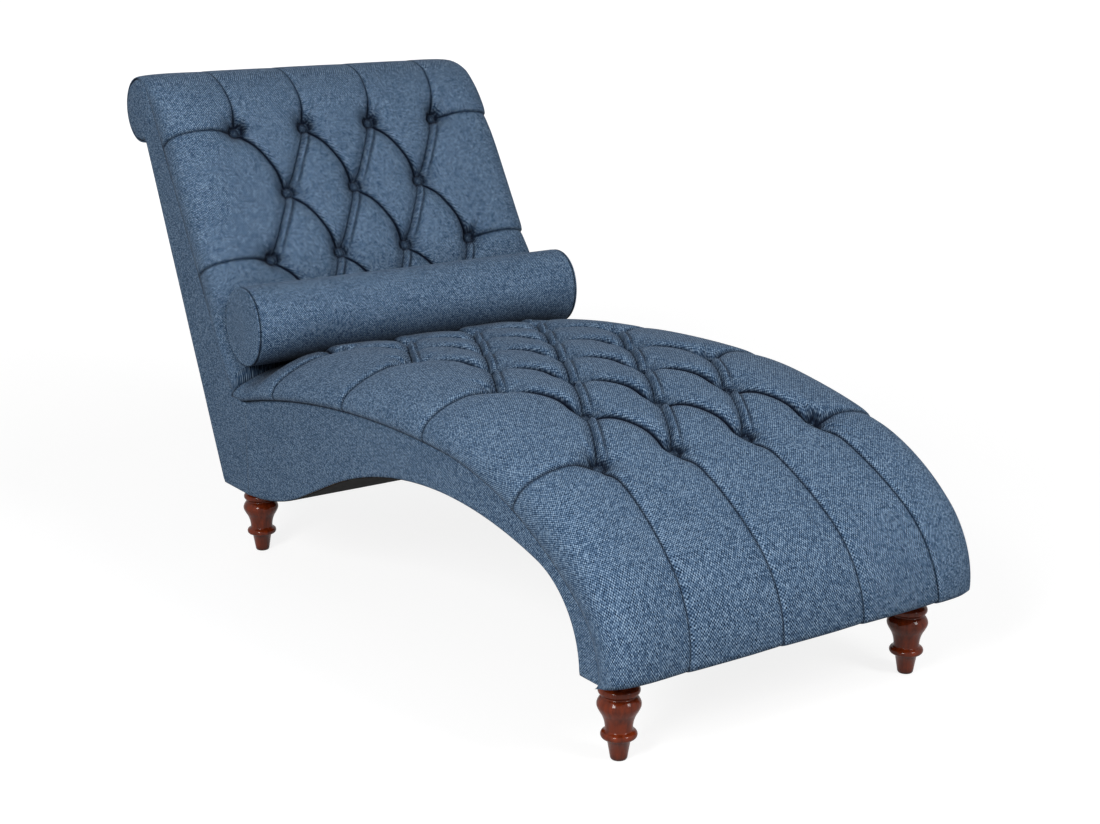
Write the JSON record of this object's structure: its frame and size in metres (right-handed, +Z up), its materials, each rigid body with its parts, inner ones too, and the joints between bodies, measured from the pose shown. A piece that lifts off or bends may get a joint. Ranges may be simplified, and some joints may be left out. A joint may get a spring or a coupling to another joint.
{
  "type": "tufted chaise longue",
  "caption": "Low padded lounge seat with an arched, button-tufted base, a leaning tufted back that rolls over at the top, a loose bolster and turned legs.",
  "frame": {"origin": "middle of the overall box at floor level", "axes": "+Z up; the foot end points to -Y and the back leans towards +Y; left in a node's name is -X, the side that the picture shows"},
  "size_m": [0.66, 1.5121, 0.8163],
  "materials": {
    "tufted_fabric": "denim-blue woven cloth over foam, deep diamond tufting",
    "side_fabric": "denim-blue woven cloth, pulled flat over board",
    "bolster_fabric": "denim-blue woven cloth over a soft fill",
    "button_fabric": "denim-blue woven cloth over a button mould",
    "dust_cloth": "black non-woven under-cover",
    "frame_wood": "raw softwood board and bent ply",
    "leg_wood": "red-brown stain under a glossy clear coat",
    "core_board": "wound board tube",
    "fixing_steel": "zinc-plated steel"
  },
  "bodies": {
    "root": {"seat_pad": "tufted_fabric", "back_pad": "tufted_fabric", "seat_buttons": "button_fabric", "back_buttons": "button_fabric", "bolster": "bolster_fabric", "bolster_end_left": "bolster_fabric", "bolster_end_right": "bolster_fabric", "seat_side_cover_left": "side_fabric", "seat_side_cover_right": "side_fabric", "back_side_cover_left": "side_fabric", "back_side_cover_right": "side_fabric", "rear_cover": "side_fabric", "dust_cover": "dust_cloth", "front_legs": "leg_wood", "rear_legs": "leg_wood", "leg_bolts": "fixing_steel", "leg_nuts": "fixing_steel", "joint_plate_left": "fixing_steel", "joint_plate_right": "fixing_steel", "scroll_core": "core_board", "seat_rail_left": "frame_wood", "seat_rail_right": "frame_wood", "back_post_left": "frame_wood", "back_post_right": "frame_wood", "seat_deck": "frame_wood", "back_deck": "frame_wood", "seat_cross_board_1": "frame_wood", "seat_cross_board_2": "frame_wood", "seat_cross_board_3": "frame_wood", "back_cross_board_1": "frame_wood", "back_cross_board_2": "frame_wood", "back_cross_board_3": "frame_wood", "toe_rail": "frame_wood", "heel_block_left": "frame_wood", "heel_block_right": "frame_wood", "heel_rail": "frame_wood"}
  },
  "joints": []
}
